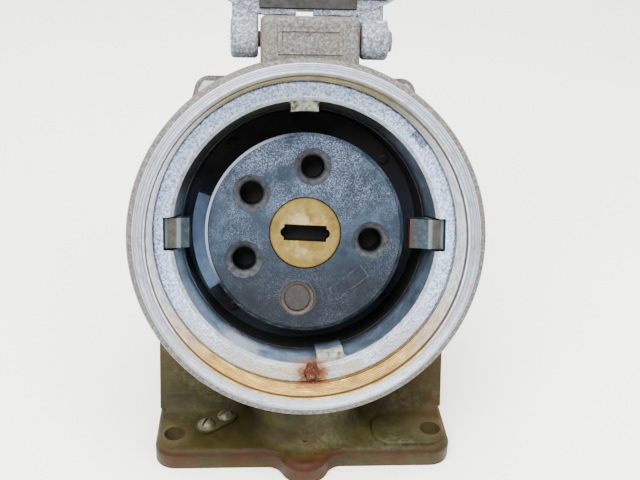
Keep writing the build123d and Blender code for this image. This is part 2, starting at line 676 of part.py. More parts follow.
def build():
    """Write every sub-part."""
    os.makedirs("parts", exist_ok=True)
    save("angle_back_box", angle_back_box())
    save("front_screws", front_screws())
    save("housing_gasket", housing_gasket())
    save("receptacle_housing", receptacle_housing())
    save("housing_bolts", housing_bolts())
    save("keyed_sleeve", keyed_sleeve())
    save("sleeve_lock_screw", sleeve_lock_screw())
    for side in ("left", "right"):
        save(f"latch_pawl_{side}", pawl(side))
        save(f"pawl_spring_{side}", pawl_spring(side))
    save("front_rotor", front_rotor())
    save("drive_hub", drive_hub())
    save("rotor_shaft", rotor_shaft())
    save("spring_washer", spring_washer())
    save("shaft_nut", shaft_nut())
    save("stop_pin", stop_pin())
    save("interlock_plunger", interlock_plunger())
    save("plunger_spring", plunger_spring())
    save("contact_block", contact_block())
    save("rear_block", rear_block())
    save("arc_barrier", arc_barrier())
    for number, angle in enumerate(contact_angles(), start=1):
        save(f"contact_socket_{number}", contact_socket(angle))
    save("terminal_screws", terminal_screws())
    save("block_screws", block_screws())
    save("cap_cover", cap_cover())
    save("cap_gasket", cap_gasket())
    save("hinge_pin", hinge_pin())


build()
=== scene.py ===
import json
import math

import bmesh
import bpy
from mathutils import Matrix, Vector, noise


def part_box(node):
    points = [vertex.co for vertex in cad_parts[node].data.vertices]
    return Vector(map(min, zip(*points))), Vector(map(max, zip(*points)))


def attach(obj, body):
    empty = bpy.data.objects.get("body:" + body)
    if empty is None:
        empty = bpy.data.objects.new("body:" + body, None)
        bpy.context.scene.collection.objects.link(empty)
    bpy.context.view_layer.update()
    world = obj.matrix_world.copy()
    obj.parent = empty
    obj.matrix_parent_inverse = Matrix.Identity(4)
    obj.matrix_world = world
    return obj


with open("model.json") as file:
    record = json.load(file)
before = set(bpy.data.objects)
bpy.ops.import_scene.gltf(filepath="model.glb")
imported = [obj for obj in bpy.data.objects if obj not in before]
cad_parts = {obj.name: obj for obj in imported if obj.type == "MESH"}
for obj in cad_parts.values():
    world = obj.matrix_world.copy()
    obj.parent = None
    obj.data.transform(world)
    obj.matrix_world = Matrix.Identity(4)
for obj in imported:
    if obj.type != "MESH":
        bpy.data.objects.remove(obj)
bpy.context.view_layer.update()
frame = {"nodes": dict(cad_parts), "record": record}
NODES = frame["nodes"]

MM = 0.001
TILT = math.radians(20)
OUT = Vector((0, -math.cos(TILT), math.sin(TILT)))
UP = Vector((0, math.sin(TILT), math.cos(TILT)))
RIGHT = Vector((1, 0, 0))

THREAD = next(m for m in frame["record"]["mounts"] if m["name"] == "plug_thread")
HALF_THREAD = THREAD["dims"]["length_mm"] / 2 * MM
MOUTH = Vector(THREAD["pos_m"]) + OUT * (HALF_THREAD + 1.4 * MM)
THREAD_R = THREAD["dims"]["r_mm"] * MM
THREAD_PITCH = 2.3 * MM
THREAD_HEIGHT = 0.9 * MM
LOCK_ANGLE = math.radians(273)
LOCK_R = 60.2
SLOT_HALF_WIDTH = 7.1
SLOT_END = 59.9
KEYS = ((91, 6.4), (282, 6.4))
RIM_LIGHT_ANGLE = math.radians(155)


# ---------------------------------------------------------------- node building


class Shader:
    """A small helper round one material's node tree."""

    def __init__(self, name):
        self.material = bpy.data.materials.new(name)
        self.material.use_nodes = True
        self.tree = self.material.node_tree
        self.surface = self.tree.nodes["Principled BSDF"]
        self.space = self.node("ShaderNodeTexCoord").outputs["Object"]

    def node(self, kind, **values):
        made = self.tree.nodes.new(kind)
        for key, value in values.items():
            setattr(made, key, value)
        return made

    def put(self, value, socket):
        if isinstance(value, bpy.types.NodeSocket):
            self.tree.links.new(value, socket)
        else:
            socket.default_value = value

    def math(self, operation, first, second=0.0, clamp=False):
        made = self.node("ShaderNodeMath", operation=operation, use_clamp=clamp)
        self.put(first, made.inputs[0])
        self.put(second, made.inputs[1])
        return made.outputs[0]

    def barrel(self):
        """Coordinates in the barrel's own frame: X right, Y up the face, Z out of the mouth."""
        turn = -(math.pi / 2 - TILT)
        rotation = Matrix.Rotation(turn, 4, "X")
        made = self.node("ShaderNodeMapping")
        made.inputs["Location"].default_value = -(rotation @ MOUTH)
        made.inputs["Rotation"].default_value = (turn, 0, 0)
        self.put(self.space, made.inputs["Vector"])
        return made.outputs[0]

    def split(self, vector):
        made = self.node("ShaderNodeSeparateXYZ")
        self.put(vector, made.inputs[0])
        return made.outputs

    def join(self, x, y, z):
        made = self.node("ShaderNodeCombineXYZ")
        for value, socket in zip((x, y, z), made.inputs):
            self.put(value, socket)
        return made.outputs[0]

    def radius(self):
        """Distance from the barrel's axis."""
        x, y, _ = self.split(self.barrel())
        return self.math("SQRT", self.math("ADD", self.math("MULTIPLY", x, x), self.math("MULTIPLY", y, y)))

    def noise(self, scale, detail=4.0, rough=0.6, vector=None, distortion=0.0):
        made = self.node("ShaderNodeTexNoise")
        self.put(vector or self.space, made.inputs["Vector"])
        made.inputs["Scale"].default_value = scale
        made.inputs["Detail"].default_value = detail
        made.inputs["Roughness"].default_value = rough
        made.inputs["Distortion"].default_value = distortion
        return made.outputs["Fac"]

    def band(self, value, low, high, soft=0.001):
        """1 where value lies between low and high, with soft edges."""
        rise = self.remap(value, low - soft, low + soft)
        fall = self.remap(value, high + soft, high - soft)
        return self.math("MULTIPLY", rise, fall)

    def remap(self, value, low, high, to_low=0.0, to_high=1.0):
        made = self.node("ShaderNodeMapRange")
        self.put(value, made.inputs["Value"])
        for socket, number in zip(made.inputs[1:5], (low, high, to_low, to_high)):
            socket.default_value = number
        return made.outputs[0]

    def spot(self, centre, reach, edge=0.5):
        """1 near a place in the row frame, fading out at the given reach, with a ragged edge."""
        made = self.node("ShaderNodeVectorMath", operation="DISTANCE")
        self.put(self.space, made.inputs[0])
        made.inputs[1].default_value = centre
        ragged = self.remap(self.noise(160, 5, 0.7), 0.3, 0.7, -edge * reach, edge * reach)
        return self.remap(self.math("ADD", made.outputs["Value"], ragged), reach, reach * 0.35)

    def ramp(self, value, *stops):
        made = self.node("ShaderNodeValToRGB")
        self.put(value, made.inputs[0])
        slots = made.color_ramp.elements
        while len(slots) < len(stops):
            slots.new(1.0)
        for slot, (place, colour) in zip(slots, stops):
            slot.position = place
            slot.color = (*colour, 1)
        return made.outputs[0]

    def blend(self, amount, below, above):
        made = self.node("ShaderNodeMix", data_type="RGBA")
        self.put(amount, made.inputs["Factor"])
        for value, socket in ((below, made.inputs["A"]), (above, made.inputs["B"])):
            colour = value if isinstance(value, bpy.types.NodeSocket) else (*value, 1)
            self.put(colour, made.inputs[6] if socket == made.inputs["A"] else made.inputs[7])
        return made.outputs[2]

    def worn_edge(self, low=0.52, high=0.6):
        """1 along outward edges, from the mesh's pointiness."""
        return self.remap(self.node("ShaderNodeNewGeometry").outputs["Pointiness"], low, high)

    def recess_tone(self):
        """The colour deep behind the disc: black, but slate on the left, where light reaches."""
        x, up, _ = self.split(self.barrel())
        left = self.math("MULTIPLY", self.remap(x, -0.036, -0.042), self.remap(up, 0.024, 0.012))
        left = self.math("MULTIPLY", left, self.remap(up, -0.036, -0.026))
        slate = self.ramp(self.noise(120, 6, 0.65), (0.3, rgb(38, 48, 58)), (0.7, rgb(66, 82, 98)))
        return self.blend(left, rgb(8, 8, 9), slate)

    def finish(self, colour, rough, metal=0.0, bumps=(), spec=0.5):
        """Set the shader's sockets; bumps is a list of (height, strength, distance)."""
        base = colour if isinstance(colour, bpy.types.NodeSocket) else (*colour, 1)
        self.put(base, self.surface.inputs["Base Color"])
        self.put(rough, self.surface.inputs["Roughness"])
        self.put(metal, self.surface.inputs["Metallic"])
        self.surface.inputs["Specular IOR Level"].default_value = spec
        normal = None
        for height, strength, distance in bumps:
            made = self.node("ShaderNodeBump")
            made.inputs["Strength"].default_value = strength
            made.inputs["Distance"].default_value = distance
            self.put(height, made.inputs["Height"])
            if normal:
                self.put(normal, made.inputs["Normal"])
            normal = made.outputs[0]
        if normal:
            self.put(normal, self.surface.inputs["Normal"])
        return self.material


def rgb(red, green, blue):
    """A display colour, 0 to 255, as linear light."""
    def linear(channel):
        value = channel / 255
        return value / 12.92 if value <= 0.04045 else ((value + 0.055) / 1.055) ** 2.4
    return (linear(red), linear(green), linear(blue))


def in_barrel(x, up, out):
    """A place in the row frame from barrel coordinates in millimetres."""
    return MOUTH + (RIGHT * x + UP * up + OUT * out) * MM


# ---------------------------------------------------------------- materials


def olive_casting():
    """The back box: worn olive paint with chalky corrosion, ochre stains and brown-red primer, and dirt with
    painted shade low near the plate.
    """
    s = Shader("olive_casting")
    _, y, z = s.split(s.space)
    tone = s.ramp(s.noise(38, 6, 0.65), (0.3, rgb(26, 23, 6)), (0.5, rgb(43, 38, 12)), (0.7, rgb(60, 57, 28)))
    ochre = s.remap(s.noise(24, 3, 0.5, distortion=0.6), 0.53, 0.64, 0.0, 0.8)
    tone = s.blend(ochre, tone, rgb(60, 38, 5))
    patches = s.remap(s.noise(30, 4, 0.6), 0.5, 0.6)
    chalk = s.math("MULTIPLY", patches, s.remap(s.noise(420, 5, 0.8), 0.42, 0.58))
    tone = s.blend(s.math("MULTIPLY", chalk, 0.5), tone, rgb(76, 82, 62))
    front = s.remap(y, -0.076, -0.0815)
    low = s.remap(z, 0.0095, 0.0075)
    front_edge = s.math("MULTIPLY", front, low)
    primer = s.math("MULTIPLY", front_edge, s.remap(s.noise(40, 4, 0.6), 0.42, 0.56, 0.0, 0.9))
    tone = s.blend(s.math("MULTIPLY", front_edge, 0.75), tone, rgb(34, 21, 5))
    tone = s.blend(primer, tone, rgb(46, 17, 3))
    ear = s.math("MULTIPLY", s.remap(y, -0.085, -0.089), s.remap(s.noise(60), 0.3, 0.45, 0.0, 0.9))
    tone = s.blend(ear, tone, rgb(48, 19, 4))
    for side in (-1, 1):
        ring = s.spot((side * 0.056, -0.070, 0.009), 0.0095, 0.12)
        tone = s.blend(s.math("MULTIPLY", ring, 0.5), tone, rgb(68, 46, 30))
    # Dirt and painted shade low on the box, from the plate's top up to about 30 mm, in noisy patches.
    grime_and_shade = s.remap(s.noise(70, 6, 0.7), 0.62, 0.42, 0.0, 0.6)
    low_grime_and_shade = s.math("MULTIPLY", s.band(z, 0.0088, 0.030, 0.006), grime_and_shade)
    tone = s.blend(low_grime_and_shade, tone, rgb(28, 25, 14))
    tone = s.blend(s.math("MULTIPLY", s.worn_edge(), 0.3), tone, rgb(76, 72, 50))
    rough = s.remap(s.noise(90, 4), 0.3, 0.7, 0.42, 0.75)
    bumps = [(s.noise(650, 5, 0.7), 0.45, 0.0007), (s.noise(90, 3), 0.35, 0.0014)]
    return s.finish(tone, rough, 0.0, bumps, spec=0.12)


def grey_casting():
    """The receptacle casting: speckled sand-cast outside, turned bright face and stained thread, with painted
    shade in the thread's roots, along its top and deep in the bore.
    """
    s = Shader("grey_casting")
    _, up, out = s.split(s.barrel())
    radius = s.radius()
    speckle = s.noise(950, 2, 0.7)
    cast = s.ramp(speckle, (0.34, rgb(50, 47, 41)), (0.5, rgb(74, 72, 66)), (0.68, rgb(106, 106, 103)))
    cast = s.blend(s.remap(s.noise(60, 4, 0.6), 0.48, 0.66, 0, 0.5), cast, rgb(84, 76, 62))
    around = s.join(s.math("MULTIPLY", radius, 5200.0), 0.0, s.math("MULTIPLY", up, 6.0))
    turned = s.noise(1.0, 3, 0.7, around)
    bright = s.ramp(turned, (0.34, rgb(112, 120, 134)), (0.5, rgb(172, 180, 194)), (0.66, rgb(226, 231, 240)))
    bright = s.blend(s.remap(up, -0.01, -0.055, 0.0, 0.55), bright, rgb(178, 182, 184))
    scuffed = s.blend(s.remap(s.noise(260, 5, 0.7), 0.52, 0.66, 0, 0.75), bright, rgb(132, 134, 136))
    bands = s.noise(1.0, 2, 0.5, s.join(s.math("MULTIPLY", radius, 1500.0), 0.0, s.math("MULTIPLY", up, 5.0)))
    scuffed = s.blend(s.remap(bands, 0.47, 0.56, 0.0, 0.7), scuffed, rgb(104, 112, 124))
    dashes = s.remap(s.noise(420, 3, 0.6), 0.38, 0.52)
    for line in (0.0664, 0.0675, 0.0684):
        scored = s.math("MULTIPLY", s.band(radius, line - 0.00008, line + 0.00008, 0.00008), dashes)
        scuffed = s.blend(s.math("MULTIPLY", scored, 0.8), scuffed, rgb(92, 94, 100))
    on_face = s.math("MULTIPLY", s.remap(out, -0.0009, -0.0003), s.remap(radius, 0.0698, 0.0695))
    tone = s.blend(on_face, cast, scuffed)
    inside = s.math("MULTIPLY", s.remap(radius, 0.0660, 0.0656), s.remap(out, -0.0004, -0.0010))
    silver = s.ramp(s.noise(260, 5, 0.7), (0.35, rgb(146, 150, 156)), (0.6, rgb(206, 210, 218)))
    gold = s.ramp(
        s.noise(160, 5, 0.7), (0.35, rgb(140, 98, 24)), (0.6, rgb(198, 160, 70)), (0.75, rgb(240, 226, 170)),
    )
    olive = s.ramp(s.noise(160, 5, 0.7), (0.35, rgb(84, 76, 48)), (0.65, rgb(126, 118, 84)))
    bore = s.blend(s.remap(up, -0.020, -0.052), silver, gold)
    # Olive towards the top of the bore: painted shade on the upper thread.
    bore = s.blend(s.remap(up, 0.030, 0.056), bore, olive)
    # Painted shade in the thread's roots between the crests: grey higher up, brown lower down.
    root = s.math("MULTIPLY", s.remap(radius, 0.06425, 0.06455, 0.0, 0.92), s.remap(out, -0.0012, -0.0018))
    bore = s.blend(root, bore, s.blend(s.remap(up, -0.010, -0.045), rgb(40, 40, 40), rgb(48, 30, 10)))
    below_screw = in_barrel(65.0 * math.cos(LOCK_ANGLE), 65.0 * math.sin(LOCK_ANGLE), -18)
    stain = s.spot(below_screw, 0.009, 0.3)
    bore = s.blend(s.math("MULTIPLY", stain, 0.75), bore, rgb(110, 48, 6))
    tone = s.blend(inside, tone, bore)
    # Painted shade deep in the barrel, past the sleeve, from recess_tone.
    deep = s.math("MULTIPLY", s.remap(out, -0.0365, -0.0385), s.remap(radius, 0.0600, 0.0596))
    tone = s.blend(deep, tone, s.recess_tone())
    metal = s.math("MULTIPLY", on_face, 0.55)
    rough = s.remap(on_face, 0.0, 1.0, 0.62, 0.38)
    rings = s.math("MULTIPLY", turned, on_face)
    sand = s.math("MULTIPLY", speckle, s.math("SUBTRACT", 1.0, on_face))
    bumps = [(sand, 0.6, 0.0007), (rings, 0.25, 0.0003), (s.noise(140, 3), 0.2, 0.001)]
    return s.finish(tone, rough, metal, bumps)


def sleeve_casting():
    """The keyed sleeve: frosted bright face, slate-painted wall with painted light and shade on it, painted
    shade in the slots, worn keys and rust by the screw.
    """
    s = Shader("sleeve_casting")
    x, up, out = s.split(s.barrel())
    radius = s.radius()
    grain = s.noise(950, 2, 0.7)
    face = s.ramp(grain, (0.36, rgb(120, 140, 176)), (0.5, rgb(176, 198, 236)), (0.64, rgb(232, 240, 252)))
    lines = s.noise(1.0, 2, 0.6, s.join(s.math("MULTIPLY", radius, 2600.0), 0.0, 0.0))
    turned = s.ramp(lines, (0.35, rgb(134, 134, 128)), (0.6, rgb(188, 188, 184)), (0.75, rgb(214, 214, 210)))
    lower = s.math("MULTIPLY", s.remap(up, -0.022, -0.046), s.remap(s.noise(50, 3), 0.34, 0.5))
    face = s.blend(s.math("MULTIPLY", lower, 0.8), face, turned)
    tan = s.math("MULTIPLY", s.remap(up, -0.050, -0.058, 0.0, 0.7), s.remap(s.noise(90, 4), 0.4, 0.55))
    face = s.blend(tan, face, rgb(176, 160, 128))
    mottle = s.noise(120, 6, 0.65)
    # Painted light on the slate wall: a lit copy on the left blends into a dim copy on the right.
    lit = s.ramp(mottle, (0.3, rgb(62, 76, 92)), (0.5, rgb(88, 106, 126)), (0.72, rgb(116, 134, 152)))
    dim = s.ramp(mottle, (0.3, rgb(34, 43, 53)), (0.5, rgb(52, 64, 78)), (0.72, rgb(72, 88, 104)))
    wall = s.blend(s.remap(x, -0.030, 0.012), lit, dim)
    speck = s.remap(s.noise(1000, 5, 0.8), 0.6, 0.7, 0, 0.6)
    wall = s.blend(speck, wall, rgb(128, 140, 152))
    # Painted shadow: black over the upper wall, reaching higher on the right.
    shade = s.math("SUBTRACT", up, s.math("MULTIPLY", x, 0.134))
    shade = s.math("SUBTRACT", shade, s.math("MULTIPLY", s.math("MAXIMUM", x, 0.0), 0.40))
    wall = s.blend(s.remap(shade, 0.010, 0.028), wall, rgb(11, 11, 11))
    # Painted shade deeper down the wall, from recess_tone.
    wall = s.blend(s.remap(out, -0.0335, -0.0392, 0.0, 0.92), wall, s.recess_tone())
    on_wall = s.remap(radius, 0.0563, 0.0560)
    bevel = s.ramp(s.noise(300, 5, 0.7), (0.35, rgb(118, 124, 130)), (0.65, rgb(168, 176, 184)))
    face = s.blend(s.remap(radius, 0.0576, 0.0574), face, bevel)
    tone = s.blend(on_wall, face, wall)
    for angle, half in KEYS:
        turn = math.radians(angle)
        cosine, sine = math.cos(turn), math.sin(turn)
        across = s.math("SUBTRACT", s.math("MULTIPLY", up, cosine), s.math("MULTIPLY", x, sine))
        along = s.math("ADD", s.math("MULTIPLY", x, cosine), s.math("MULTIPLY", up, sine))
        key = s.math("MULTIPLY", s.band(across, -half * MM, half * MM, 0.0004), s.remap(along, 0.030, 0.034))
        worn = s.math("MULTIPLY", s.math("MULTIPLY", key, on_wall), s.remap(s.noise(300, 5, 0.7), 0.36, 0.56))
        worn = s.math("MULTIPLY", worn, s.remap(out, -0.0290, -0.0255))
        tone = s.blend(worn, tone, rgb(150, 156, 138))
    # Painted shade: black inside the pawl slots, behind the face.
    slot = s.math("MULTIPLY", s.band(up, -0.0072, 0.0072, 0.00005), s.remap(out, -0.0212, -0.0216))
    slot = s.math("MULTIPLY", slot, s.remap(s.math("ABSOLUTE", x), 0.045, 0.0455))
    tone = s.blend(slot, tone, rgb(8, 8, 9))
    # A paler patch low on the left of the wall: painted light where the lamp reaches down the recess.
    patch = s.spot(in_barrel(-28, -47, -28), 0.012, 0.3)
    tone = s.blend(s.math("MULTIPLY", patch, 0.75), tone, rgb(150, 156, 162))
    screw = in_barrel(LOCK_R * math.cos(LOCK_ANGLE), LOCK_R * math.sin(LOCK_ANGLE), -21)
    halo = s.spot(screw, 0.0110, 0.35)
    tone = s.blend(s.math("MULTIPLY", halo, 0.75), tone, rgb(134, 92, 30))
    tone = s.blend(s.spot(screw, 0.0066, 0.35), tone, rgb(78, 32, 5))
    rough = s.remap(s.noise(300, 4), 0.3, 0.7, 0.42, 0.7)
    metal = s.remap(radius, 0.0560, 0.0563, 0.0, 0.3)
    bumps = [(grain, 0.7, 0.0007), (lines, 0.15, 0.0003), (s.noise(160), 0.25, 0.001)]
    return s.finish(tone, rough, metal, bumps)


def slate_mottle(s, dark, mid, light):
    """The moulding's mottled tone with fine cross scratches, shared by the disc and the block."""
    x, up, _ = s.split(s.barrel())
    tone = s.ramp(s.noise(70, 6, 0.7), (0.28, dark), (0.5, mid), (0.74, light))
    streak = s.noise(1.0, 3, 0.6, s.join(s.math("MULTIPLY", x, 160.0), s.math("MULTIPLY", up, 2400.0), 0.0))
    cross = s.noise(1.0, 3, 0.6, s.join(s.math("MULTIPLY", x, 2200.0), s.math("MULTIPLY", up, 200.0), 0.0))
    tone = s.blend(s.remap(streak, 0.60, 0.68, 0.0, 0.3), tone, light)
    return s.blend(s.remap(cross, 0.62, 0.70, 0.0, 0.3), tone, light), streak


def rotor_phenolic():
    """The disc: slate moulding, scuffed white towards the top, with brown countersinks, painted shade black
    down the holes and round the rim's back, and a painted highlight on the rim.
    """
    s = Shader("rotor_phenolic")
    x, up, out = s.split(s.barrel())
    radius = s.radius()
    tone, streak = slate_mottle(s, rgb(20, 28, 37), rgb(31, 42, 54), rgb(48, 62, 78))
    tone = s.blend(s.remap(up, 0.004, -0.024, 0.0, 0.8), tone, rgb(14, 17, 21))
    grain = s.remap(s.noise(1700, 3, 0.7), 0.47, 0.60)
    cloud = s.remap(s.noise(60, 5, 0.7), 0.40, 0.60)
    scuff = s.math("MULTIPLY", s.math("MULTIPLY", grain, cloud), s.remap(up, -0.012, 0.030, 0.10, 0.6))
    tone = s.blend(scuff, tone, rgb(132, 146, 172))
    for slope, offset, low, high in ((-0.12, 0.0290, -0.030, -0.010), (0.35, 0.0180, 0.004, 0.030)):
        line = s.math("SUBTRACT", s.math("SUBTRACT", x, s.math("MULTIPLY", up, slope)), offset)
        crack = s.math("MULTIPLY", s.band(line, -0.00009, 0.00009, 0.00006), s.band(up, low, high, 0.001))
        tone = s.blend(s.math("MULTIPLY", crack, 0.8), tone, rgb(24, 28, 34))
    in_hole = s.math("MULTIPLY", s.remap(out, -0.02712, -0.02730), s.remap(radius, 0.0396, 0.0394))
    sink = s.ramp(s.noise(420, 5, 0.7), (0.35, rgb(38, 41, 44)), (0.65, rgb(72, 75, 78)))
    tone = s.blend(in_hole, tone, sink)
    rusty = s.spot(in_barrel(-3.1, -28.4, -27), 0.0088, 0.05)
    rusty = s.math("MULTIPLY", s.math("MULTIPLY", rusty, in_hole), 0.8)
    tone = s.blend(rusty, tone, rgb(100, 70, 46))
    # Painted shade: black down the holes and behind the disc's face.
    tone = s.blend(s.remap(out, -0.0296, -0.0312), tone, rgb(5, 5, 5))
    rim = s.remap(radius, 0.0416, 0.0418)
    # Painted highlight on the rim, brightest on the side facing RIM_LIGHT_ANGLE at the upper left; the chips
    # are real wear.
    across, along = math.cos(RIM_LIGHT_ANGLE), math.sin(RIM_LIGHT_ANGLE)
    facing = s.math("ADD", s.math("MULTIPLY", x, across), s.math("MULTIPLY", up, along))
    pale = s.remap(facing, 0.023, 0.037, 0.0, 0.9)
    chips = s.remap(s.noise(240, 5, 0.7), 0.5, 0.6, 0.0, 0.6)
    tone = s.blend(s.math("MULTIPLY", rim, chips), tone, rgb(84, 80, 72))
    tone = s.blend(s.math("MULTIPLY", rim, pale), tone, rgb(150, 160, 170))
    # Painted shade: the rim's side goes black further back.
    tone = s.blend(s.math("MULTIPLY", rim, s.remap(out, -0.0286, -0.0292)), tone, rgb(8, 9, 11))
    # A dark line in the rim's groove, only where the highlight is: painted shade.
    groove = s.math("MULTIPLY", s.band(radius, 0.0402, 0.0406, 0.0002), pale)
    tone = s.blend(s.math("MULTIPLY", groove, 0.7), tone, rgb(34, 38, 44))
    rough = s.remap(s.noise(180, 5), 0.3, 0.7, 0.34, 0.6)
    bumps = [(s.noise(1400, 5, 0.7), 0.2, 0.0003), (streak, 0.08, 0.0002)]
    return s.finish(tone, rough, 0.0, bumps, spec=0.2)


def block_phenolic():
    """The insulators behind the disc: blue-slate where light reaches them, black down the wells."""
    s = Shader("block_phenolic")
    _, up, out = s.split(s.barrel())
    tone, streak = slate_mottle(s, rgb(42, 56, 76), rgb(60, 78, 102), rgb(82, 102, 128))
    # Painted shade: black towards the top, where light doesn't reach.
    tone = s.blend(s.remap(up, 0.012, 0.026), tone, rgb(8, 8, 9))
    tone = s.blend(s.band(out, -0.0606, -0.0388, 0.0008), tone, s.recess_tone())
    tone = s.blend(s.remap(out, -0.0606, -0.0614), tone, rgb(30, 33, 38))
    rough = s.remap(s.noise(180, 5), 0.3, 0.7, 0.4, 0.62)
    return s.finish(tone, rough, 0.0, [(streak, 0.08, 0.0002)], spec=0.2)


def plain_metal(
    name, dark, mid, light, rough=(0.35, 0.6), metal=0.8, grain=260, dirt=rgb(60, 52, 40), dirty=0.5,
):
    """A tarnished metal with mottling, dirt in patches and bright edges."""
    s = Shader(name)
    tone = s.ramp(s.noise(grain, 6, 0.7), (0.3, dark), (0.5, mid), (0.72, light))
    tone = s.blend(s.remap(s.noise(grain * 0.6, 5, 0.7), 0.5, 0.68, 0.0, dirty), tone, dirt)
    tone = s.blend(s.math("MULTIPLY", s.worn_edge(), 0.6), tone, light)
    finish = s.remap(s.noise(grain * 1.7, 4), 0.3, 0.7, *rough)
    return s.finish(tone, finish, metal, [(s.noise(grain * 5, 5, 0.7), 0.25, 0.0003)])


def cap_casting():
    """The cap: pale sand-cast grey with a strong speckle and a few brown stains."""
    s = Shader("cap_casting")
    speckle = s.noise(950, 2, 0.7)
    tone = s.ramp(speckle, (0.36, rgb(66, 72, 80)), (0.5, rgb(98, 105, 116)), (0.66, rgb(154, 161, 172)))
    tone = s.blend(s.remap(s.noise(60, 4, 0.6), 0.5, 0.68, 0.0, 0.5), tone, rgb(94, 88, 78))
    return s.finish(tone, 0.6, 0.25, [(speckle, 0.6, 0.0007), (s.noise(140, 3), 0.2, 0.001)])


def rust():
    """Flaky rust from dark brown to orange, with pale crystals."""
    s = Shader("rusty_steel")
    tone = s.ramp(
        s.noise(620, 6, 0.75),
        (0.30, rgb(22, 12, 8)), (0.46, rgb(58, 22, 5)), (0.58, rgb(104, 42, 6)), (0.70, rgb(176, 150, 140)),
    )
    return s.finish(tone, 0.7, 0.1, [(s.noise(900, 6, 0.8), 0.9, 0.0008)])


def pin_steel():
    """The hinge pin: rusty between the arms and the lug, plain grey-brown at its ends."""
    s = Shader("pin_steel")
    x, _, _ = s.split(s.space)
    away = s.math("ABSOLUTE", x)
    mottle = s.noise(520, 6, 0.75)
    rusty = s.ramp(mottle, (0.3, rgb(44, 26, 18)), (0.5, rgb(88, 50, 30)), (0.7, rgb(128, 86, 56)))
    plain = s.ramp(mottle, (0.3, rgb(70, 68, 66)), (0.5, rgb(104, 102, 100)), (0.7, rgb(150, 150, 152)))
    tone = s.blend(s.remap(away, 0.0215, 0.0225), rusty, plain)
    return s.finish(tone, 0.65, 0.3, [(s.noise(900, 6, 0.8), 0.6, 0.0006)])


def rubber():
    """Black gasket rubber, dusty and dull."""
    s = Shader("gasket_rubber")
    tone = s.ramp(s.noise(300, 5, 0.7), (0.35, rgb(18, 18, 18)), (0.7, rgb(48, 47, 45)))
    return s.finish(tone, 0.72, 0.0, [(s.noise(1500, 4), 0.2, 0.0003)], spec=0.35)


def hub_bronze():
    """The ochre hub: dull bronze with darker worn arcs and pits, and painted shade, black, down the keyway.
    """
    s = Shader("hub_bronze")
    _, _, out = s.split(s.barrel())
    radius = s.radius()
    mottle = s.noise(150, 6, 0.7)
    tone = s.ramp(mottle, (0.28, rgb(74, 56, 18)), (0.5, rgb(104, 86, 34)), (0.75, rgb(124, 108, 54)))
    pits = s.remap(s.noise(520, 6, 0.8), 0.58, 0.68, 0, 0.6)
    tone = s.blend(pits, tone, rgb(74, 56, 24))
    rings = s.noise(1.0, 2, 0.6, s.join(s.math("MULTIPLY", radius, 2400.0), 0.0, 0.0))
    tone = s.blend(s.remap(rings, 0.52, 0.66, 0.0, 0.3), tone, rgb(102, 80, 38))
    near_slot = s.remap(radius, 0.0125, 0.0085, 0.0, 0.7)
    smear = s.math("MULTIPLY", s.remap(s.noise(120, 5, 0.7), 0.46, 0.60), near_slot)
    tone = s.blend(smear, tone, rgb(158, 146, 104))
    tone = s.blend(s.remap(radius, 0.0135, 0.0152, 0.0, 0.5), tone, rgb(84, 68, 32))
    # Painted shade: black deep in the keyway.
    tone = s.blend(s.remap(out, -0.0277, -0.0286), tone, rgb(3, 2, 1))
    bumps = [(s.noise(900, 5, 0.7), 0.35, 0.0004), (rings, 0.12, 0.0002)]
    return s.finish(tone, 0.58, 0.1, bumps, spec=0.2)


def pawl_metal():
    """Tarnished pawl: brown outer ramp, blue-green nose."""
    s = Shader("pawl_bronze")
    x, _, _ = s.split(s.space)
    away = s.math("ABSOLUTE", x)
    mottle = s.noise(400, 6, 0.7)
    nose = s.ramp(mottle, (0.3, rgb(18, 26, 32)), (0.55, rgb(38, 52, 60)), (0.8, rgb(74, 92, 100)))
    ramp = s.ramp(s.noise(300, 6, 0.7), (0.3, rgb(52, 49, 43)), (0.7, rgb(84, 80, 72)))
    edge = s.band(away, 0.0530, 0.0545, 0.0004)
    tone = s.blend(s.remap(away, 0.0540, 0.0546), nose, ramp)
    tone = s.blend(s.math("MULTIPLY", edge, 0.8), tone, rgb(110, 126, 130))
    tone = s.blend(s.remap(away, 0.0580, 0.0586, 0.0, 0.8), tone, rgb(84, 112, 120))
    red = s.math("MULTIPLY", s.remap(x, 0.0476, 0.0466), s.remap(x, 0.040, 0.041))
    tone = s.blend(s.math("MULTIPLY", red, 0.7), tone, rgb(62, 30, 24))
    return s.finish(tone, 0.42, 0.35, [(s.noise(1200, 5, 0.7), 0.4, 0.0004)])


def floor_paint():
    """Plain pale floor."""
    s = Shader("floor_paint")
    tone = s.ramp(s.noise(3, 3), (0.3, rgb(248, 248, 243)), (0.7, rgb(252, 252, 248)))
    return s.finish(tone, 0.75)


STEEL = (rgb(96, 94, 90), rgb(140, 138, 134), rgb(186, 184, 180))
MATERIALS = {
    "olive_casting": olive_casting(),
    "grey_casting": grey_casting(),
    "sleeve_casting": sleeve_casting(),
    "cap_casting": cap_casting(),
    "phenolic": rotor_phenolic(),
    "phenolic_block": block_phenolic(),
    "hub_bronze": hub_bronze(),
    "plunger_brown": plain_metal(
        "plunger_brown", rgb(16, 14, 12), rgb(26, 23, 21), rgb(40, 37, 34),
        (0.6, 0.85), 0.0, 520, rgb(34, 21, 12), 0.5,
    ),
    "pawl_bronze": pawl_metal(),
    "rusty_steel": rust(),
    "gasket_rubber": rubber(),
    "bolt_steel": plain_metal("bolt_steel", *STEEL),
    "spring_steel": plain_metal("spring_steel", *STEEL, dirty=0.2),
    "contact_brass": plain_metal("contact_brass", rgb(128, 92, 40), rgb(186, 146, 76), rgb(218, 184, 116)),
    "brass_screws": plain_metal(
        "brass_screws", rgb(44, 42, 26), rgb(68, 66, 46), rgb(104, 102, 80), metal=0.3,
    ),
}


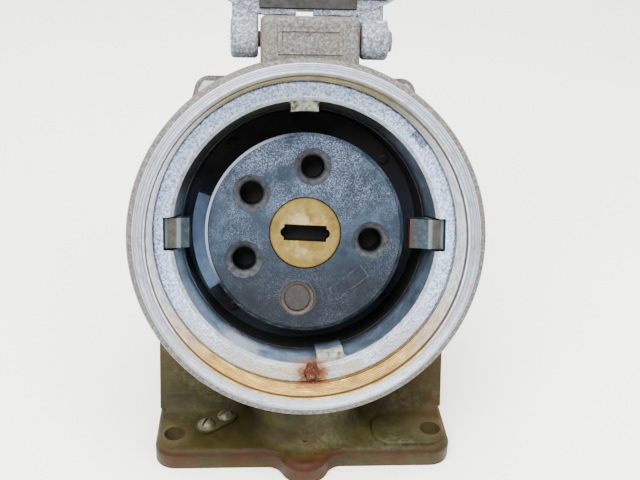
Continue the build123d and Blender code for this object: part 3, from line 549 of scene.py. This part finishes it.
def dress_nodes():
    """Give every CAD node the material of its slot."""
    for part in frame["record"]["subparts"]:
        obj = NODES[part["node"]]
        obj.data.materials.clear()
        obj.data.materials.append(MATERIALS[part["material_slot"]])
    NODES["hinge_pin"].data.materials[0] = pin_steel()
    # The block screws in near black: painted shade deep in the recess behind the disc.
    NODES["block_screws"].data.materials[0] = plain_metal(
        "shade_black_steel", rgb(6, 6, 6), rgb(10, 10, 10), rgb(16, 16, 17), (0.7, 0.9), 0.0, dirt=rgb(8, 8, 8),
    )


# ---------------------------------------------------------------- detail pieces


def lathe(name, rings, steps, body, material):
    """A closed turned ring about the barrel axis, from (radius, out) pairs in metres."""
    mesh = bmesh.new()
    loops = []
    for step in range(steps):
        turn = 2 * math.pi * step / steps
        across = RIGHT * math.cos(turn) + UP * math.sin(turn)
        loops.append([mesh.verts.new(MOUTH + across * radius + OUT * out) for radius, out in rings])
    for step in range(steps):
        here, there = loops[step], loops[(step + 1) % steps]
        for index in range(len(rings)):
            following = (index + 1) % len(rings)
            mesh.faces.new((here[index], there[index], there[following], here[following]))
    return as_piece(name, mesh, body, material)


def as_piece(name, mesh, body, material):
    """Turn a bmesh into a smooth-shaded object that rides on a body."""
    bmesh.ops.recalc_face_normals(mesh, faces=mesh.faces)
    data = bpy.data.meshes.new(name)
    mesh.to_mesh(data)
    mesh.free()
    data.polygons.foreach_set("use_smooth", [True] * len(data.polygons))
    data.materials.append(MATERIALS[material])
    obj = bpy.data.objects.new(name, data)
    bpy.context.scene.collection.objects.link(obj)
    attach(obj, body)
    return obj


def thread_helix():
    """The fine ridge that winds down the mouth's bore."""
    steps_per_turn = 180
    top, bottom = -2.0 * MM, -20.2 * MM
    turns = (top - bottom) / THREAD_PITCH
    steps = int(turns * steps_per_turn)
    mesh = bmesh.new()
    sections = []
    for step in range(steps + 1):
        turn = 2 * math.pi * step / steps_per_turn
        across = RIGHT * math.cos(turn) + UP * math.sin(turn)
        out = top - THREAD_PITCH * step / steps_per_turn
        ends = min(step, steps - step) / (steps_per_turn * 0.25)
        height = THREAD_HEIGHT * min(1.0, ends)
        root = THREAD_R + 0.15 * MM
        profile = ((root, 0.95), (THREAD_R - height, 0.18), (THREAD_R - height, -0.18), (root, -0.95))
        sections.append([
            mesh.verts.new(MOUTH + across * radius + OUT * (out + shift * MM)) for radius, shift in profile
        ])
    for here, there in zip(sections, sections[1:]):
        for index in range(4):
            following = (index + 1) % 4
            mesh.faces.new((here[index], there[index], there[following], here[following]))
    mesh.faces.new(sections[0])
    mesh.faces.new(sections[-1][::-1])
    return as_piece("thread_ridge", mesh, "housing", "grey_casting")


def turned_face():
    """The machined mouth face with its fine turned grooves."""
    low, high, count = 0.06605, 0.06945, 12
    width = (high - low) / count
    rings = [(low, -0.00015)]
    for index in range(count):
        start = low + width * index
        lift = (0.14 if index % 3 else 0.22) * MM
        rings += [(start + width * share, lift) for share in (0.12, 0.80)]
        rings.append((start + width * 0.96, 0.02 * MM))
    rings.append((high, -0.00015))
    return lathe("turned_face", rings, 256, "housing", "grey_casting")


def rust_crust():
    """The lumpy rust round the sleeve's lock screw."""
    mesh = bmesh.new()
    bmesh.ops.create_icosphere(mesh, subdivisions=5, radius=1.0)
    outward = RIGHT * math.cos(LOCK_ANGLE) + UP * math.sin(LOCK_ANGLE)
    centre = MOUTH + outward * LOCK_R * MM + OUT * -21.2 * MM
    sideways = OUT.cross(outward)
    for vert in mesh.verts:
        lump = 1 + 0.4 * noise.fractal(vert.co * 2.2, 0.7, 2.1, 4)
        x, y, z = vert.co * lump
        pit = max(0.0, 1 - math.hypot(x, y) * 1.7)
        z = z * (1 - 0.8 * pit)
        vert.co = centre + outward * x * 4.4 * MM + sideways * y * 3.0 * MM + OUT * z * 0.75 * MM
    return as_piece("rust_crust", mesh, "housing", "rusty_steel")


def sleeve_skin():
    """The sleeve's rough frosted face, as a thin displaced skin between the slots."""
    inner, outer, rows = 0.05755, 0.0637, 12
    steps = 900
    mesh = bmesh.new()
    grid = []
    for step in range(steps):
        turn = 2 * math.pi * step / steps
        across = RIGHT * math.cos(turn) + UP * math.sin(turn)
        row = []
        for index in range(rows + 1):
            radius = inner + (outer - inner) * index / rows
            place = MOUTH + across * radius + OUT * -20.93 * MM
            place += OUT * 0.10 * MM * noise.fractal(place * 1500, 0.7, 2.1, 4)
            row.append(mesh.verts.new(place))
        grid.append(row)
    for step in range(steps):
        for index in range(rows):
            radius = (inner + (outer - inner) * (index + 0.5) / rows) / MM
            if skin_hole(radius, 360 * (step + 0.5) / steps):
                continue
            here, there = grid[step], grid[(step + 1) % steps]
            mesh.faces.new((here[index], here[index + 1], there[index + 1], there[index]))
    loose = [vert for vert in mesh.verts if not vert.link_faces]
    bmesh.ops.delete(mesh, geom=loose, context="VERTS")
    top = list(mesh.faces)
    copy = bmesh.ops.extrude_face_region(mesh, geom=top)
    for item in copy["geom"]:
        if isinstance(item, bmesh.types.BMVert):
            item.co -= OUT * 0.25 * MM
    return as_piece("sleeve_skin", mesh, "housing", "sleeve_casting")


def skin_hole(radius, angle):
    """Where the sleeve's face is cut: two pawl slots, the notch and the lock screw."""
    x = radius * math.cos(math.radians(angle))
    y = radius * math.sin(math.radians(angle))
    if 40 < abs(x) < SLOT_END and abs(y) < SLOT_HALF_WIDTH:
        return True
    if radius > 61.0 and abs(angle - 40.5) < 3.9:
        return True
    return math.hypot(x - LOCK_R * math.cos(LOCK_ANGLE), y - LOCK_R * math.sin(LOCK_ANGLE)) < 3.3


def lock_washer_marks():
    """The raised rusty lip round the plunger's hole."""
    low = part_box("interlock_plunger")
    centre = (Vector(low[0]) + Vector(low[1])) / 2
    flat = centre - MOUTH
    middle = MOUTH + RIGHT * flat.dot(RIGHT) + UP * flat.dot(UP)
    mesh = bmesh.new()
    steps = 96
    rings = ((7.3, -27.08), (7.5, -26.95), (7.9, -26.95), (8.1, -27.08))
    loops = []
    for step in range(steps):
        turn = 2 * math.pi * step / steps
        across = RIGHT * math.cos(turn) + UP * math.sin(turn)
        ragged = 1 + 0.06 * noise.noise(across * 3.0)
        loops.append([mesh.verts.new(middle + across * r * ragged * MM + OUT * out * MM) for r, out in rings])
    for step in range(steps):
        here, there = loops[step], loops[(step + 1) % steps]
        for index in range(4):
            following = (index + 1) % 4
            mesh.faces.new((here[index], there[index], there[following], here[following]))
    return as_piece("plunger_rust_lip", mesh, "rotor", "plunger_brown")


# ---------------------------------------------------------------- stage


def make_stage():
    """A pale floor that curves up into a backdrop."""
    mesh = bmesh.new()
    profile = [(-2.5, 0.0), (0.9, 0.0)]
    for step in range(1, 13):
        turn = math.pi / 2 * step / 12
        profile.append((0.9 + 0.5 * math.sin(turn), 0.5 - 0.5 * math.cos(turn)))
    profile.append((1.4, 3.0))
    rows = [[mesh.verts.new((x, y, z - 0.0002)) for x in (-3.5, 3.5)] for y, z in profile]
    for low, high in zip(rows, rows[1:]):
        mesh.faces.new((low[0], low[1], high[1], high[0]))
    data = bpy.data.meshes.new("floor")
    mesh.to_mesh(data)
    mesh.free()
    data.polygons.foreach_set("use_smooth", [True] * len(data.polygons))
    data.materials.append(floor_paint())
    floor = bpy.data.objects.new("floor", data)
    bpy.context.scene.collection.objects.link(floor)


def area_light(name, place, target, size, power):
    """A soft rectangular lamp pointed at a place."""
    lamp = bpy.data.lights.new(name, "AREA")
    lamp.size = size
    lamp.energy = power
    obj = bpy.data.objects.new(name, lamp)
    obj.location = place
    obj.rotation_euler = (Vector(target) - Vector(place)).to_track_quat("-Z", "Y").to_euler()
    bpy.context.scene.collection.objects.link(obj)


def make_light():
    """Pale surroundings and three large soft lamps from above."""
    world = bpy.data.worlds.new("studio")
    world.use_nodes = True
    world.node_tree.nodes["Background"].inputs[0].default_value = (1.0, 1.0, 0.99, 1)
    world.node_tree.nodes["Background"].inputs[1].default_value = 0.62
    bpy.context.scene.world = world
    target = MOUTH
    area_light("key", (-0.5, -0.9, 1.3), target, 0.9, 62)
    area_light("fill", (0.8, -0.7, 1.2), target, 0.9, 24)
    area_light("top", (0.0, 0.1, 1.6), target, 1.4, 70)


CAMERA_PLACE = Vector((-0.0191, -0.3675, 0.2551))
CAMERA_YAW = math.radians(4.44)
CAMERA_PITCH = math.radians(26.9)
CAMERA_ROLL = math.radians(2.23)
CAMERA_LENS = 48.3


def make_camera():
    """The camera in front of and above the mouth, looking down at it."""
    forward = Vector((
        math.sin(CAMERA_YAW) * math.cos(CAMERA_PITCH),
        math.cos(CAMERA_YAW) * math.cos(CAMERA_PITCH),
        -math.sin(CAMERA_PITCH),
    ))
    level = Vector((math.cos(CAMERA_YAW), -math.sin(CAMERA_YAW), 0))
    above = level.cross(forward)
    right = level * math.cos(CAMERA_ROLL) + above * math.sin(CAMERA_ROLL)
    up = above * math.cos(CAMERA_ROLL) - level * math.sin(CAMERA_ROLL)
    lens = bpy.data.cameras.new("camera")
    lens.lens = CAMERA_LENS
    lens.sensor_width = 36
    lens.clip_start = 0.01
    camera = bpy.data.objects.new("camera", lens)
    facing = Matrix((right, up, -forward)).transposed().to_4x4()
    camera.matrix_world = Matrix.Translation(CAMERA_PLACE) @ facing
    bpy.context.scene.collection.objects.link(camera)
    bpy.context.scene.camera = camera


dress_nodes()
thread_helix()
turned_face()
sleeve_skin()
rust_crust()
lock_washer_marks()
make_stage()
make_light()
make_camera()


def plain(corners):
    """Two corners as plain lists."""
    return [list(corner) for corner in corners]
